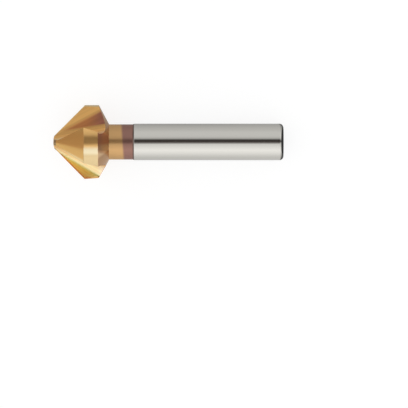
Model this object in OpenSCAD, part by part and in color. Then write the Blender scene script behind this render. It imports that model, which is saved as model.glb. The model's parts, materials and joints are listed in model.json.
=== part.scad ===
// Three-flute countersink bit with a straight shank, lying as it comes to rest.
// One piece of high speed steel: head, neck and shank are turned, the flutes and reliefs are ground.

/* [Overall] */
// Length from the tip to the end of the shank
overall_l = 63; // [52:0.5:80]
// Largest diameter of the head, over the cutting edges
head_d = 20.5; // [17:0.1:25]
// Diameter that the cone would have in the plane of the tip
tip_d = 3.5; // [3:0.1:4.5]
// Included angle of the cutting cone
cone_angle = 90; // [75:1:100]

/* [Head] */
// Length of the cylindrical land behind the cone
land_l = 3.9; // [2.5:0.1:5]
// Angle between the back of the head and the axis
back_angle = 62; // [50:1:75]
// Diameter of the small flat on the very tip
tip_flat_d = 1.4; // [1:0.1:2]
// How far that flat stands in front of the cone
tip_rise = 0.3; // [0.1:0.05:0.5]

/* [Neck and shank] */
// Diameter of the shank
shank_d = 10; // [8:0.1:12]
// Diameter of the neck between the head and the shank
neck_d = 9.66; // [7.8:0.02:9.9]
// Length of the neck
neck_l = 6.4; // [4:0.1:10]
// Length of the bevel from the neck up to the shank
step_l = 0.5; // [0.2:0.1:0.8]
// Radius on the end of the shank
end_r = 1.1; // [0.3:0.1:2]

/* [Teeth] */
// Number of teeth
teeth = 3; // [3:1:3]
// Where a tooth's cutting edge meets the land, as an angle about the axis
edge_angle = 21; // [15:1:27]
// Fall of the cone, half way round a tooth, behind the cutting edge
cone_relief = 0.34; // [0.1:0.02:0.5]
// Fall of the land, half way round a tooth, behind the cutting edge
land_relief = 0.16; // [0.1:0.02:0.4]

/* [Flutes] */
// Direction that the rake face looks in, about the axis
rake_azimuth = 133.4; // [130:0.2:137]
// Hook of the rake face: how far it looks back towards the shank
rake_hook = 16.1; // [13:0.1:19]
// Distance of the rake face from the axis, at the tip
rake_offset = -1.35; // [-1.6:0.05:-1.1]
// Direction that the root below the rake face looks in
root_azimuth = 91; // [86:0.5:96]
// Slope of the root along the axis
root_slope = 8.3; // [6:0.1:11]
// Distance of the root from the axis, at the tip
root_offset = 0.1; // [0:0.01:0.3]
// Direction that the floor looks in
floor_azimuth = 21.6; // [18:0.2:26]
// Slope of the floor along the axis
floor_slope = 21.1; // [18:0.1:24]
// Distance of the floor from the axis, at the tip
floor_offset = 0.5; // [0.3:0.05:0.8]
// Direction that the wall up to the heel of the next tooth looks in
wall_azimuth = 6.5; // [2:0.5:10]
// Slope of that wall along the axis
wall_slope = 14.9; // [12:0.1:17]
// Distance of that wall from the axis, at the tip
wall_offset = -0.03; // [-0.3:0.01:0.3]
// Radius between the rake face and the root
rake_r = 1.2; // [0.6:0.1:1.8]
// Radius between the root and the floor
floor_r = 4; // [3:0.1:5]

/* [Colours] */
// How far the gold coating reaches from the tip
coat_l = 19; // [16:0.1:21.5]

/* [Hidden] */
$fn = 128;
half_angle = cone_angle / 2;
head_r = head_d / 2;
tip_r = tip_d / 2;
shank_r = shank_d / 2;
neck_r = neck_d / 2;
tooth_pitch = 360 / teeth;
// stations along the axis, counted from the tip
rim_at = tip_rise;
rim_r = tip_r + tip_rise * tan(half_angle);
cone_l = (head_r - tip_r) / tan(half_angle);
land_end = cone_l + land_l;
back_l = (head_r - neck_r) / tan(back_angle);
neck_at = land_end + back_l;
step_at = neck_at + neck_l;
shank_at = step_at + step_l;
// the blank is turned this much too big, where the teeth are ground down to size
stock = 1;
// how far one colour's solid reaches into the next
lap = 1;
// larger than anything on the bit, for cutters that run off it
far = 40;
// the radii in a flute meet each flat face at this small angle
root_break = 8;
// the reliefs turn about axes of their own, beside the bit's axis
relief_span = tooth_pitch / 2;
relief_lag = 60;
relief_gain = cos(relief_lag) - cos(relief_lag + relief_span);
// a tooth lies between these angles; its neighbours overlap it inside the flutes
sector_lead = 55;
sector_heel = -75;
coat_gold = [0.80, 0.58, 0.26];
heat_tint = [0.47, 0.33, 0.29];
ground_steel = [0.75, 0.75, 0.74];

function unit(v) = v / norm(v);
function looks(azimuth, lean) = [cos(lean) * cos(azimuth), cos(lean) * sin(azimuth), sin(lean)];
// distance of a tooth's own axis from the bit's axis, for a fall behind the edge
function relief_shift(fall) = fall / relief_gain;
// radius about the tooth's own axis of a circle that passes through its cutting edge
function relief_r(r, fall) =
    norm([r - relief_shift(fall) * cos(relief_lag), relief_shift(fall) * sin(relief_lag)]);

// radius of the relieved land in one direction
function land_r(azimuth) =
    relief_shift(land_relief) * cos(azimuth - edge_angle - relief_lag)
    + sqrt(relief_r(head_r, land_relief) ^ 2
        - (relief_shift(land_relief) * sin(azimuth - edge_angle - relief_lag)) ^ 2);
// angle between the way a flat face looks and where it cuts a circle about the axis
function reach(slope, off, at, r) = acos((off + sin(slope) * at) / (cos(slope) * r));

// the bit rests on one tooth's cutting corner, on the next tooth's heel and on the shank's end
lead_at = cone_l;
lead_azimuth = rake_azimuth - reach(-rake_hook, rake_offset, lead_at, head_r);
lead_r = land_r(lead_azimuth);
heel_guess = wall_azimuth + reach(wall_slope, wall_offset, land_end, head_r);
heel_r = land_r(heel_guess - tooth_pitch);
heel_at = land_end + (head_r - heel_r) / tan(back_angle);
heel_azimuth = wall_azimuth + reach(wall_slope, wall_offset, heel_at, heel_r);
mouth = lead_r * looks(lead_azimuth, 0) - heel_r * looks(heel_azimuth, 0);
// height of the axis over the cutting corner, for a ground direction about the axis
function drop(down) = lead_r * cos(down - lead_azimuth) - (shank_r - end_r);
// slope of the axis when the corner and the rounded end of the shank both touch
function slope_at(down) =
    acos(end_r / norm([overall_l - end_r - lead_at, drop(down)]))
    - atan2(overall_l - end_r - lead_at, drop(down));
// turns the bit until the heel touches too
function settle(down, steps) =
    steps == 0 ? down : settle(
        atan2(mouth[1], mouth[0])
        + acos((heel_at - lead_at) * tan(slope_at(down)) / norm(mouth)),
        steps - 1
    );
ground_azimuth = settle(atan2(mouth[1], mouth[0]) + 90, 6);
// the same flute one tooth on is the one that faces the ground
roll = ground_azimuth + tooth_pitch - 180;
tilt = slope_at(ground_azimuth);
lift = lead_at * sin(tilt) + lead_r * cos(ground_azimuth - lead_azimuth) * cos(tilt);

// moves a shape to a tooth's own axis
module relieved(fall) {
    rotate([0, 0, edge_angle + relief_lag])
        translate([relief_shift(fall), 0, 0])
            children();
}

// wedge about the axis, between two angles
module sector(from, to) {
    middle = (from + to) / 2;
    translate([0, 0, -shank_at])
        linear_extrude(shank_at + stock)
            polygon([
                [0, 0],
                far * [cos(from), sin(from)],
                far * [cos(middle), sin(middle)],
                far * [cos(to), sin(to)]
            ]);
}

// the turned blank of the head, a little too big in front
module head_blank() {
    rotate_extrude()
        polygon([
            [0, 0],
            [tip_flat_d / 2, 0],
            [rim_r, -rim_at],
            [rim_r + stock, -rim_at],
            [head_r + stock, -cone_l],
            [head_r + stock, -land_end + stock / tan(back_angle)],
            [neck_r, -neck_at],
            [neck_r, -coat_l],
            [0, -coat_l]
        ]);
}

// cone and land of one tooth, each falling away behind the cutting edge
module tooth_form() {
    relief_base_r = relief_r(head_r, cone_relief) + (shank_at - cone_l) * tan(half_angle);
    intersection() {
        relieved(cone_relief)
            translate([0, 0, -shank_at])
                cylinder(h = relief_base_r / tan(half_angle), r1 = relief_base_r, r2 = 0);
        relieved(land_relief)
            translate([0, 0, -shank_at])
                cylinder(h = shank_at + stock, r = relief_r(head_r, land_relief));
        sector(sector_heel, sector_lead);
    }
}

// open space over the rounded corner between two flat faces, each face given by the way it looks
// and its distance from the axis at the tip; it runs on across the faces themselves
module rounding(look_a, off_a, look_b, off_b, r) {
    run = unit(cross(look_a, look_b));
    out = unit(look_a + look_b);
    side = cross(run, out);
    half = asin(out * look_a);
    foot = (off_a * cross(look_b, run) + off_b * cross(run, look_a)) / (look_a * cross(look_b, run));
    centre = r * cos(root_break) / sin(half);
    multmatrix([
        [out[0], side[0], run[0], foot[0]],
        [out[1], side[1], run[1], foot[1]],
        [out[2], side[2], run[2], foot[2]]
    ])
        translate([0, 0, -far])
            linear_extrude(2 * far)
                union() {
                    translate([centre, 0])
                        circle(r);
                    translate([centre * cos(half) ^ 2, -far])
                        square([2 * far, 2 * far]);
                }
}

// all that lies beyond a flat face
module beyond(azimuth, slope, off) {
    rotate([0, -slope, azimuth])
        translate([off, -far, -far])
            cube(2 * far);
}

// one flute: rake face and root on one side, floor and wall on the other
module flute() {
    rake_look = looks(rake_azimuth, -rake_hook);
    root_look = looks(root_azimuth, root_slope);
    floor_look = looks(floor_azimuth, floor_slope);
    intersection() {
        beyond(rake_azimuth, -rake_hook, rake_offset);
        beyond(root_azimuth, root_slope, root_offset);
        beyond(floor_azimuth, floor_slope, floor_offset);
        beyond(wall_azimuth, wall_slope, wall_offset);
        rounding(rake_look, rake_offset, root_look, root_offset, rake_r);
        rounding(root_look, root_offset, floor_look, floor_offset, floor_r);
    }
}

// everything that carries the gold coating
module head() {
    color(coat_gold)
        difference() {
            intersection() {
                head_blank();
                for (i = [0 : teeth - 1])
                    rotate([0, 0, i * tooth_pitch])
                        tooth_form();
            }
            for (i = [0 : teeth - 1])
                rotate([0, 0, i * tooth_pitch])
                    flute();
        }
}

// the rest of the neck, tinted by heat where the coating ends
module neck() {
    color(heat_tint)
        rotate_extrude()
            polygon([
                [0, lap - coat_l],
                [neck_r / 2, lap - coat_l],
                [neck_r / 2, -coat_l],
                [neck_r, -coat_l],
                [neck_r, -step_at],
                [shank_r, -shank_at],
                [0, -shank_at]
            ]);
}

// the ground shank, with the radius on its end
module shank() {
    color(ground_steel)
        rotate_extrude() {
            polygon([
                [0, lap - shank_at],
                [shank_r / 2, lap - shank_at],
                [shank_r / 2, -shank_at],
                [shank_r, -shank_at],
                [shank_r, end_r - overall_l],
                [shank_r - end_r, end_r - overall_l],
                [shank_r - end_r, -overall_l],
                [0, -overall_l]
            ]);
            translate([shank_r - end_r, end_r - overall_l])
                intersection() {
                    circle(end_r);
                    translate([0, -end_r])
                        square(end_r);
                }
        }
}

module countersink_bit() {
    translate([-overall_l / 2 * cos(tilt), 0, lift])
        rotate([0, tilt - 90, 0])
            rotate([0, 0, -roll]) {
                head();
                neck();
                shank();
            }
}

countersink_bit();
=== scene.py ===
# Countersink bit lying on a white table, seen square to its axis as in a catalogue picture.
import json
import math

import bpy
import numpy as np
from mathutils import Matrix, Vector

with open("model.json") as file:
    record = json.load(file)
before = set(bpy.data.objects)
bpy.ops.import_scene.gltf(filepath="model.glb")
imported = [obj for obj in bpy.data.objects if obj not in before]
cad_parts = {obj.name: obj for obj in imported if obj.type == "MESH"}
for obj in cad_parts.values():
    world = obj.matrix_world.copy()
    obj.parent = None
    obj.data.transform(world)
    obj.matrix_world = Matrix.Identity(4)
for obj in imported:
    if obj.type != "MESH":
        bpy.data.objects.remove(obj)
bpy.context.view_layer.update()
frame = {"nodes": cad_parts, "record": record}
bit = frame["nodes"]["countersink_bit"]
shankEnd = next(m for m in frame["record"]["mounts"] if m["name"] == "shank_end")
print("frame loaded")


# how the bit lies, and its own axes: along it from tip to shank, and the two ways across it in the picture
bitPlace = {
    "length": 0.063,
    "roll": -11.5903,      # turn of the bit about its axis, degrees
}
along = Vector(shankEnd["axis"]).normalized()
tip = Vector(shankEnd["pos_m"]) - along * bitPlace["length"]
middle = tip + along * bitPlace["length"] / 2
upright = Vector((-along.z, 0, along.x))      # square to the axis, nearly straight up
aside = Vector((0, 1, 0))
roll = math.radians(bitPlace["roll"])
toViewer = upright * math.cos(roll) - aside * math.sin(roll)
pictureUp = upright * math.sin(roll) + aside * math.cos(roll)


# the camera, square to the bit's axis
cameraPlace = {
    "distance": 1.1,
    "clip": (0.05, 20),
    "sensor": 36,                      # mm
    "imagePixels": 408,
    "pixelsPerMetre": 3650,            # the picture's scale at the bit
    "middlePixel": (168.4, 141.95),    # the middle of the bit's axis, from the picture's left and top
}


def makeCamera(p):
    half = p["imagePixels"] / 2
    right = (half - p["middlePixel"][0]) / p["pixelsPerMetre"]
    up = (p["middlePixel"][1] - half) / p["pixelsPerMetre"]
    target = middle + along * right + pictureUp * up
    cam = bpy.data.cameras.new("camera")
    cam.sensor_width = p["sensor"]
    cam.lens = p["sensor"] * p["distance"] * p["pixelsPerMetre"] / p["imagePixels"]
    cam.clip_start, cam.clip_end = p["clip"]
    o = bpy.data.objects.new("camera", cam)
    bpy.context.scene.collection.objects.link(o)
    o.matrix_world = Matrix.LocRotScale(
        target + toViewer * p["distance"],
        Matrix((along, pictureUp, toViewer)).transposed().to_quaternion(),
        None,
    )
    bpy.context.scene.camera = o


makeCamera(cameraPlace)
print("camera placed")


# node helpers
mmPerMetre = 1000.0
white = (1, 1, 1)


# one shader node; inputs gives its sockets numbers, vectors, colours or other nodes' outputs
def addNode(tree, kind, inputs=(), **settings):
    n = tree.nodes.new(kind)
    for k, v in settings.items():
        setattr(n, k, v)
    for k, v in dict(inputs).items():
        socket = n.inputs[k]
        if isinstance(v, bpy.types.NodeSocket):
            tree.links.new(v, socket)
        else:
            socket.default_value = (*v, 1) if socket.type == "RGBA" else v
    return n


def maths(tree, operation, *values, clamp=False):
    inputs = dict(enumerate(values))
    return addNode(tree, "ShaderNodeMath", inputs, operation=operation, use_clamp=clamp).outputs[0]


# 0 before the first limit, 1 past the second, and a smooth step from one to the other
def between(tree, value, limits):
    inputs = {0: value, 1: limits[0], 2: limits[1]}
    return addNode(tree, "ShaderNodeMapRange", inputs, interpolation_type="SMOOTHSTEP").outputs[0]


# a where factor is 0, b where it is 1
def mixColour(tree, factor, a, b):
    return addNode(tree, "ShaderNodeMix", {0: factor, 6: a, 7: b}, data_type="RGBA").outputs[2]


# square root of a squared plus b squared
def lengthOf(tree, a, b):
    squares = maths(tree, "ADD", maths(tree, "MULTIPLY", a, a), maths(tree, "MULTIPLY", b, b))
    return maths(tree, "SQRT", squares)


# how far a place is from the origin given, in metres along the bit, towards the viewer and up in the picture
def placeFrom(tree, origin):
    place = addNode(tree, "ShaderNodeTexCoord").outputs["Object"]
    offset = addNode(tree, "ShaderNodeVectorMath", {0: place, 1: origin}, operation="SUBTRACT").outputs[0]
    return [
        addNode(tree, "ShaderNodeVectorMath", {0: offset, 1: way}, operation="DOT_PRODUCT").outputs["Value"]
        for way in (along, toViewer, pictureUp)
    ]


def newMaterial(name):
    m = bpy.data.materials.new(name)
    m.use_nodes = True
    m.node_tree.nodes.clear()
    return m, m.node_tree, m.node_tree.nodes.new("ShaderNodeOutputMaterial").inputs["Surface"]


# shared effect: uneven parallel lines as a grinding wheel leaves them, from noise that changes one way only
grindNoise = {
    "detail": 3.0,         # sets of finer scratches in the lines
    "roughness": 0.6,      # how strong the finer ones are
}


def makeGrindLines(p):
    g = bpy.data.node_groups.new("grindLines", "ShaderNodeTree")
    for name, way in (("Across", "INPUT"), ("Per mm", "INPUT"), ("Height", "OUTPUT")):
        g.interface.new_socket(name, in_out=way, socket_type="NodeSocketFloat")
    given = g.nodes.new("NodeGroupInput").outputs
    w = maths(g, "MULTIPLY", given["Across"], given["Per mm"])
    inputs = {"W": w, "Scale": 1.0, "Detail": p["detail"], "Roughness": p["roughness"]}
    noise = addNode(g, "ShaderNodeTexNoise", inputs, noise_dimensions="1D")
    g.links.new(noise.outputs["Fac"], g.nodes.new("NodeGroupOutput").inputs["Height"])
    return g


grindLines = makeGrindLines(grindNoise)
print("shared effect built")


# height of the lines; across is the way square to them, in mm
def addGrindLines(tree, across, perMm):
    inputs = {"Across": across, "Per mm": perMm}
    return addNode(tree, "ShaderNodeGroup", inputs, node_tree=grindLines).outputs["Height"]


# where a place is on the bit: mm from its tip, mm from its axis, and degrees round it
def addBitAxes(tree):
    a, v, u = (maths(tree, "MULTIPLY", part, mmPerMetre) for part in placeFrom(tree, tip))
    turn = maths(tree, "DEGREES", maths(tree, "ARCTAN2", u, v))
    return a, lengthOf(tree, v, u), turn


# the three equal teeth, each with four flat faces in the flute ahead of it
toothFaces = {
    "pitch": 120.0,        # degrees from tooth to tooth
    "edgeTurn": 21.3,      # turn of a cutting edge, degrees
    # the way each face looks about the axis, its slope along it, degrees, and its distance at the tip, mm
    "faces": {
        "Rake": (133.4, -16.1, -1.35),
        "Root": (91, 8.3, 0.1),
        "Floor": (21.6, 21.1, 0.5),
        "Wall": (6.5, 14.9, -0.03),
    },
    # millimetres from each face over which its finish gives way to the next
    "blends": {"Rake": (0.02, 0.16), "Root": (0.02, 1.0), "Floor": (0.02, 0.16), "Wall": (0.02, 0.30)},
    "floorFrom": (2.25, 2.85),      # millimetres from the root over which the floor's finish begins
}


# where a place lies on its tooth: degrees behind the cutting edge, mm across the grinding lines, which run
# along the corner with the neighbouring face, and for each flat face of the flute a mask that is 1 on it
def addToothPlace(tree, a, r, turn, p):
    behind = maths(tree, "FLOORED_MODULO", maths(tree, "SUBTRACT", p["edgeTurn"], turn), p["pitch"])
    own = maths(tree, "RADIANS", maths(tree, "FLOORED_MODULO", turn, p["pitch"]))
    x = maths(tree, "MULTIPLY", r, maths(tree, "COSINE", own))
    y = maths(tree, "MULTIPLY", r, maths(tree, "SINE", own))
    distances, on = {}, {}
    for name, (azimuth, slope, out) in p["faces"].items():
        az, sl = math.radians(azimuth), math.radians(slope)
        # distance from the face: x cos(az) cos(sl) + y sin(az) cos(sl) - a sin(sl) - out
        d = maths(tree, "MULTIPLY_ADD", x, math.cos(az) * math.cos(sl), -out)
        d = maths(tree, "MULTIPLY_ADD", y, math.sin(az) * math.cos(sl), d)
        d = maths(tree, "MULTIPLY_ADD", a, -math.sin(sl), d)
        distances[name] = d
        off = between(tree, maths(tree, "ABSOLUTE", d), p["blends"][name])
        on[name] = maths(tree, "SUBTRACT", 1.0, off)
    on["Floor"] = maths(tree, "MULTIPLY", on["Floor"], between(tree, distances["Root"], p["floorFrom"]))
    across = maths(tree, "SUBTRACT", distances["Root"], distances["Floor"])
    for name, neighbour in (("Rake", "Root"), ("Root", "Rake"), ("Floor", "Wall"), ("Wall", "Floor")):
        change = maths(tree, "SUBTRACT", distances[neighbour], across)
        across = maths(tree, "MULTIPLY_ADD", change, on[name], across)
    return behind, across, on


# finish of the bit; every pair is where one finish begins to give way to the next and where it has done so
bitFinish = {
    # the turned blank, mm
    "tipRadius": 1.75,
    "headRadius": 10.25,
    "backStarts": 12.4,
    "backSlope": 1.88,               # fall of the back cone's radius along the axis
    # how far under the blank the flutes begin, mm: past the relief, and on the back cone, which has none
    "fluteDepth": (0.40, 0.55),
    "backFluteDepth": (0.12, 0.25),
    # along the bit from its tip, mm
    "coneFrom": (0.55, 0.9),
    "landFrom": (8.45, 8.55),
    "backFrom": (12.35, 12.45),
    "neckFrom": (15.18, 15.38),
    "tintFrom": (18.6, 19.4),
    "tintSlant": 0.32,               # how far the coating's end wanders round the neck
    "stepFrom": (21.65, 21.9),
    "steelFrom": (22.04, 22.16),
    "endFrom": (62.93, 62.985),
    "exitShadeFrom": (8.5, 14.5),
    "rootExitHighlightFrom": (11.6, 13.6),
    # round each tooth from its cutting edge, degrees
    "landHighlightFrom": (27, 35),
    "landPaleHighlightFrom": (38, 45),
    "backHighlightFrom": (23, 32),
    "backFarShadeFrom": (44, 52),
    "heelHighlightFrom": (49, 55),
    # colours, among them painted shade and painted highlights
    # painted shade: the tip's small flat, darker than the cone
    "tipShadeBrown": (0.42, 0.30, 0.16),
    "coneGold": (0.89, 0.56, 0.195),
    "heelHighlightGold": (1.0, 0.77, 0.41),         # painted highlight along the cone's margin at the heel
    "landGold": (1.0, 0.63, 0.245),
    "landHighlightGold": (1.0, 0.87, 0.59),        # painted highlight, a pale streak along the middle of each land
    "landPaleHighlight": (0.79, 0.615, 0.34),       # the land's gold towards the heel, paled with painted highlight
    "backShadeBrown": (0.85, 0.45, 0.26),       # painted shade on the back cone behind a cutting edge, midway and at the heel
    # painted highlight on the back cone further behind each cutting edge
    "backHighlightGold": (1.0, 0.70, 0.41),
    # painted shade, dimmer again, on the back cone furthest behind each cutting edge
    "backFarShade": (0.67, 0.41, 0.22),
    "fluteGold": (0.92, 0.53, 0.185),
    # painted shade on the flute's floor
    "floorShadeBrown": (0.62, 0.255, 0.097),
    "exitShadeBrown": (0.41, 0.168, 0.117),     # painted shade, darker still, on the floor where it runs out through the back cone
    "wallGold": (0.88, 0.52, 0.18),
    # painted highlight on the flute's root
    "rootHighlightGold": (1.0, 0.76, 0.42),
    "rootExitHighlight": (1.0, 0.83, 0.60),         # painted highlight, paler still, on the root where it runs out through the back cone
    # painted highlight on the rake faces
    "rakeHighlightGold": (1.0, 0.86, 0.33),
    "neckGold": (0.71, 0.445, 0.20),
    "heatTint": (0.375, 0.205, 0.165),
    # the coating's tint at the step's bevel, darkened there with painted shade
    "stepTint": (0.19, 0.13, 0.11),
    "steel": (0.675, 0.66, 0.615),
    "endGrey": (0.36, 0.355, 0.35),        # the shank's end face, which grinding leaves dull
    # gloss; haze is the share of a second, wide reflection that the coating adds
    "roughness": {"gold": 0.13, "flute": 0.34, "tint": 0.16, "steel": 0.10, "end": 0.4, "haze": 0.65},
    "haze": {"gold": 0.40, "rake": 0.60, "neck": 0.55},
    "endMetal": 0.5,                 # share of the end face that shows as bare metal
    # grinding lines
    "linesPerMm": 5.0,               # round the whole bit
    "lineDepth": 0.0000012,          # metres
    "streaksPerMm": 1.6,             # along the flutes
    "streakDepth": 1.1,              # how strongly they darken and lighten
}


# colour of the tip, cone, land and back cone, with painted shade on the tip and back cone and painted
# highlights on the cone's heel, the land and the back cone
def makeHeadColour(tree, a, behind, p):
    cone = mixColour(tree, between(tree, a, p["coneFrom"]), p["tipShadeBrown"], p["coneGold"])
    cone = mixColour(tree, between(tree, behind, p["heelHighlightFrom"]), cone, p["heelHighlightGold"])
    land = mixColour(tree, between(tree, behind, p["landHighlightFrom"]), p["landGold"], p["landHighlightGold"])
    land = mixColour(tree, between(tree, behind, p["landPaleHighlightFrom"]), land, p["landPaleHighlight"])
    back = mixColour(tree, between(tree, behind, p["backHighlightFrom"]), p["backShadeBrown"], p["backHighlightGold"])
    back = mixColour(tree, between(tree, behind, p["backFarShadeFrom"]), back, p["backFarShade"])
    head = mixColour(tree, between(tree, a, p["landFrom"]), cone, land)
    return mixColour(tree, between(tree, a, p["backFrom"]), head, back)


# colour of the flutes' faces, with painted shade on the floor and painted highlights on the root and rake
# faces, scaled up and down by the streaks about their mean height of a half
def makeFluteColour(tree, a, across, on, p):
    floor = mixColour(tree, between(tree, a, p["exitShadeFrom"]), p["floorShadeBrown"], p["exitShadeBrown"])
    root = mixColour(tree, between(tree, a, p["rootExitHighlightFrom"]), p["rootHighlightGold"], p["rootExitHighlight"])
    colour = p["fluteGold"]
    for face, finish in (("Floor", floor), ("Wall", p["wallGold"]), ("Root", root), ("Rake", p["rakeHighlightGold"])):
        colour = mixColour(tree, on[face], colour, finish)
    streaks = addGrindLines(tree, across, p["streaksPerMm"])
    shade = maths(tree, "MULTIPLY_ADD", maths(tree, "SUBTRACT", streaks, 0.5), p["streakDepth"], 1.0)
    return addNode(tree, "ShaderNodeVectorMath", {0: colour, "Scale": shade}, operation="SCALE").outputs[0]


# 1 in the flutes, which lie under the blank; its radius is the lowest of cone, land and back cone
def makeFluteMask(tree, a, r, p):
    cone = maths(tree, "ADD", a, p["tipRadius"])
    back = maths(tree, "MULTIPLY_ADD", a, -p["backSlope"], p["headRadius"] + p["backStarts"] * p["backSlope"])
    blank = maths(tree, "MINIMUM", maths(tree, "MINIMUM", cone, p["headRadius"]), back)
    depth = maths(tree, "SUBTRACT", blank, r)
    onBack = between(tree, a, p["backFrom"])
    underBack = maths(tree, "MULTIPLY", between(tree, depth, p["backFluteDepth"]), onBack)
    under = maths(tree, "MAXIMUM", between(tree, depth, p["fluteDepth"]), underBack)
    beforeNeck = maths(tree, "SUBTRACT", 1.0, between(tree, a, p["neckFrom"]))
    return maths(tree, "MULTIPLY", under, beforeNeck)


def makeBitMaterial(p):
    m, tree, surface = newMaterial("groundAndCoatedSteel")
    a, r, turn = addBitAxes(tree)
    behind, across, on = addToothPlace(tree, a, r, turn, toothFaces)
    inFlute = makeFluteMask(tree, a, r, p)
    slant = maths(tree, "MULTIPLY", maths(tree, "SINE", maths(tree, "RADIANS", turn)), p["tintSlant"])
    pastTint = between(tree, maths(tree, "ADD", a, slant), p["tintFrom"])
    pastNeck, pastStep, pastSteel, pastEnd = (
        between(tree, a, p[n]) for n in ("neckFrom", "stepFrom", "steelFrom", "endFrom")
    )

    colour = makeHeadColour(tree, a, behind, p)
    colour = mixColour(tree, inFlute, colour, makeFluteColour(tree, a, across, on, p))
    for mask, finish in ((pastNeck, "neckGold"), (pastTint, "heatTint"), (pastStep, "stepTint"),
                         (pastSteel, "steel"), (pastEnd, "endGrey")):
        colour = mixColour(tree, mask, colour, p[finish])

    # each mask changes the roughness by the step from the finish that comes before its own
    known = p["roughness"]
    rough = known["gold"]
    for mask, before, finish in ((inFlute, "gold", "flute"), (pastTint, "gold", "tint"),
                                 (pastSteel, "tint", "steel"), (pastEnd, "steel", "end")):
        rough = maths(tree, "MULTIPLY_ADD", mask, known[finish] - known[before], rough)
    metal = maths(tree, "MULTIPLY_ADD", pastEnd, p["endMetal"] - 1, 1.0)

    # more haze on the rake faces and the neck than on the rest of the coating, and none on bare steel
    haze = p["haze"]["gold"]
    onRake = maths(tree, "MULTIPLY", on["Rake"], inFlute)
    for mask, finish in ((onRake, "rake"), (pastNeck, "neck")):
        haze = maths(tree, "MULTIPLY_ADD", mask, p["haze"][finish] - p["haze"]["gold"], haze)
    haze = maths(tree, "MULTIPLY", haze, maths(tree, "SUBTRACT", 1.0, pastSteel))

    lines = addGrindLines(tree, a, p["linesPerMm"])
    bump = addNode(tree, "ShaderNodeBump", {"Height": lines, "Distance": p["lineDepth"]}).outputs[0]
    clear = addNode(
        tree, "ShaderNodeBsdfPrincipled",
        {"Base Color": colour, "Metallic": metal, "Roughness": rough, "Normal": bump},
    )
    hazy = addNode(
        tree, "ShaderNodeBsdfPrincipled",
        {"Base Color": colour, "Metallic": 1.0, "Roughness": known["haze"]},
    )
    both = addNode(tree, "ShaderNodeMixShader", {0: haze, 1: clear.outputs[0], 2: hazy.outputs[0]})
    tree.links.new(both.outputs[0], surface)
    return m


bit.data.materials.clear()
bit.data.materials.append(makeBitMaterial(bitFinish))
print("bit finished")


# 1 for rays from the camera and for those that metal or glass sends on
def seenDirectly(tree):
    path = addNode(tree, "ShaderNodeLightPath").outputs
    s = maths(tree, "ADD", path["Is Camera Ray"], path["Is Glossy Ray"])
    return maths(tree, "ADD", s, path["Is Transmission Ray"], clamp=True)


def addSurface(name, points, faces, material):
    mesh = bpy.data.meshes.new(name)
    mesh.from_pydata(points, [], faces)
    mesh.materials.append(material)
    o = bpy.data.objects.new(name, mesh)
    bpy.context.scene.collection.objects.link(o)
    return o


tableLook = {
    "half": 3.0,
    "grey": (0.26, 0.26, 0.26),
    "glow": 0.81,          # what the camera sees on top of the lit table
}


def makeTable(p):
    m, tree, surface = newMaterial("whiteTable")
    matt = addNode(tree, "ShaderNodeBsdfDiffuse", {"Color": p["grey"]})
    strength = maths(tree, "MULTIPLY", seenDirectly(tree), p["glow"])
    glow = addNode(tree, "ShaderNodeEmission", {"Color": white, "Strength": strength})
    both = addNode(tree, "ShaderNodeAddShader", {0: matt.outputs[0], 1: glow.outputs[0]})
    tree.links.new(both.outputs[0], surface)
    h = p["half"]
    o = addSurface("table", [(-h, -h, 0), (h, -h, 0), (h, h, 0), (-h, h, 0)], [(0, 1, 2, 3)], m)


# the light tent round the bit, which only shiny surfaces see; the lean of a place on it is how far it lies
# past the bit's end along the axis, over its distance from the axis
tentLook = {
    "radius": 0.7,
    "end": 0.9,                      # how far out each closed end stands
    "height": 0.01,                  # of the drum's middle over the table
    "floor": 0.0004,                 # height of its flat underside
    "sides": 73,
    "fade": (0.29, 0.50),            # lean over which the middle's light gives way to an end's
    "farFade": (1.4, 2.2),           # and the left end's to the warmer one straight ahead of the tip
    "endDark": (0.85, 1.15),         # lean to the right past which hardly any light comes
    "darkEnd": 0.05,                 # and how much of it
    "leftShift": 0.225,              # how far the left end's light stands off the axis, per length
    "endReach": 0.004,               # the right end's light begins this far short of the shank's end
    "brightest": 2.0,                # a ramp's colours stop at 1, so they are shares of this
    "warmth": (0.0, 0.3, 0.4),       # share of red, green and blue that light of warmth 1 lacks
    # degrees about the bit's axis from the viewer towards picture up, brightness there, and warmth if any
    "middleLight": ((-180, 0.75), (-135, 0.62), (-110, 0.77), (-75, 1.07), (-55, 1.2), (-30, 1.0),
                    (-14, 0.85), (-7.5, 0.1, 0.5), (0, 0.05, 0.5), (12.5, 0.05, 0.5), (20, 0.5), (30, 0.72),
                    (45, 0.76), (65, 0.75), (90, 0.63), (135, 0.33), (180, 0.45)),
    "leftLight": ((-180, 0.62), (-129, 0.81), (-90, 0.87), (-60, 1.0), (-30, 0.9), (0, 0.74), (20, 0.68),
                  (35, 0.55), (52, 0.5), (75, 0.44), (90, 0.36), (115, 0.36), (180, 0.5)),
    "farLeftLight": ((-180, 0.62), (-129, 0.81), (-90, 0.87), (-60, 1.0), (-30, 0.9), (0, 0.74, 0.2),
                     (30, 0.58, 0.6), (52, 0.5, 0.8), (75, 0.44, 0.9), (90, 0.35, 0.95), (115, 0.35, 0.95),
                     (180, 0.5, 0.9)),
    "rightLight": ((-180, 0.05), (-150, 0.06), (-120, 0.12), (-104, 0.5), (-75, 1.0), (-45, 0.95), (-20, 0.8),
                   (-12, 0.7), (-6, 0.10), (2, 0.05), (9, 0.05), (16, 0.55), (28, 0.85), (50, 0.9), (75, 0.7),
                   (98, 0.4), (118, 0.10), (180, 0.05)),
}


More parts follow.
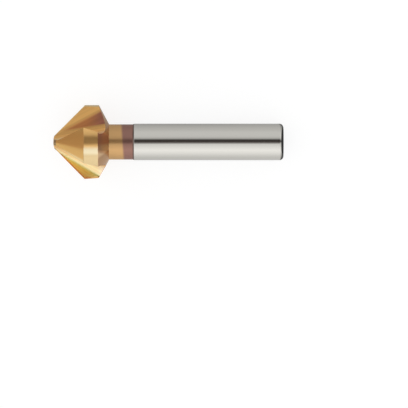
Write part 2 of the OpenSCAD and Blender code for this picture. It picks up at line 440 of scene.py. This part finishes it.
# closed drum round the bit, cut off flat over the table: a ring's points are its middle, plus its radius
# times cos(t) towards the viewer and sin(t) up in the picture; the outer two rings are shrunk to a point
def makeTentShape(p):
    ends = p["end"] * np.array((-1, -1, 1, 1))
    radii = p["radius"] * np.array((0, 1, 1, 0))
    t = np.linspace(0, 2 * math.pi, p["sides"], endpoint=False)
    circle = np.outer(np.cos(t), toViewer) + np.outer(np.sin(t), pictureUp)
    points = radii[:, None, None] * circle
    points[..., 0] += ends[:, None]
    points[..., 2] = np.maximum(points[..., 2] + p["height"], p["floor"])
    corner = np.arange(ends.size * t.size).reshape(ends.size, t.size)
    following = np.roll(corner, -1, axis=1)
    faces = np.stack((corner[:-1], following[:-1], following[1:], corner[1:]), axis=-1)
    return points.reshape(-1, 3), faces.reshape(-1, 4)


# light by turn about the axis, which comes as 0 to 1 for -180 to 180 degrees
def makeLightRamp(tree, turn, lights, p):
    ramp = addNode(tree, "ShaderNodeValToRGB", {"Fac": turn})
    stops = ramp.color_ramp.elements
    stops.remove(stops[1])
    for degrees, light, *warm in lights:
        position = (degrees + 180) / 360
        stop = stops.new(position) if position > 0 else stops[0]
        share = light / p["brightest"]
        stop.color = (*(share * (1 - lack * sum(warm)) for lack in p["warmth"]), 1)
    return ramp.outputs[0]


def makeTentLight(p):
    m, tree, surface = newMaterial("tentCloth")
    s, v, u = placeFrom(tree, middle)
    u = maths(tree, "MULTIPLY_ADD", maths(tree, "MINIMUM", s, 0.0), -p["leftShift"], u)
    fullTurn = 2 * math.pi
    turn = maths(tree, "MULTIPLY_ADD", maths(tree, "ARCTAN2", u, v), 1 / fullTurn, 0.5)
    away = lengthOf(tree, v, u)
    half = bitPlace["length"] / 2
    leanLeft = maths(tree, "DIVIDE", maths(tree, "SUBTRACT", -half, s), away)
    leanRight = maths(tree, "DIVIDE", maths(tree, "SUBTRACT", s, half - p["endReach"]), away)
    middleLight, leftLight, farLeftLight, rightLight = (
        makeLightRamp(tree, turn, p[n], p) for n in ("middleLight", "leftLight", "farLeftLight", "rightLight")
    )
    dark = [p["darkEnd"] / p["brightest"]] * 3
    light = mixColour(tree, between(tree, leanLeft, p["fade"]), middleLight, leftLight)
    light = mixColour(tree, between(tree, leanLeft, p["farFade"]), light, farLeftLight)
    light = mixColour(tree, between(tree, leanRight, p["fade"]), light, rightLight)
    light = mixColour(tree, between(tree, leanRight, p["endDark"]), light, dark)
    glow = addNode(tree, "ShaderNodeEmission", {"Color": light, "Strength": p["brightest"]})
    tree.links.new(glow.outputs[0], surface)
    return m


def makeTent(p):
    points, faces = makeTentShape(p)
    o = addSurface("lightTent", points, faces, makeTentLight(p))
    o.visible_camera = False
    o.visible_diffuse = False
    o.visible_shadow = False


worldLook = {
    "ambient": 0.8,        # what lights the bit; where the world itself is seen, it is white
}


def makeWorld(p):
    world = bpy.data.worlds.new("studio")
    world.use_nodes = True
    tree = world.node_tree
    tree.nodes.clear()
    out = tree.nodes.new("ShaderNodeOutputWorld")
    strength = maths(tree, "MULTIPLY_ADD", seenDirectly(tree), 1 - p["ambient"], p["ambient"])
    sky = addNode(tree, "ShaderNodeBackground", {"Color": white, "Strength": strength})
    tree.links.new(sky.outputs[0], out.inputs["Surface"])
    bpy.context.scene.world = world


makeTable(tableLook)
makeTent(tentLook)
makeWorld(worldLook)
bpy.context.scene.view_settings.view_transform = "Standard"
print("studio built")
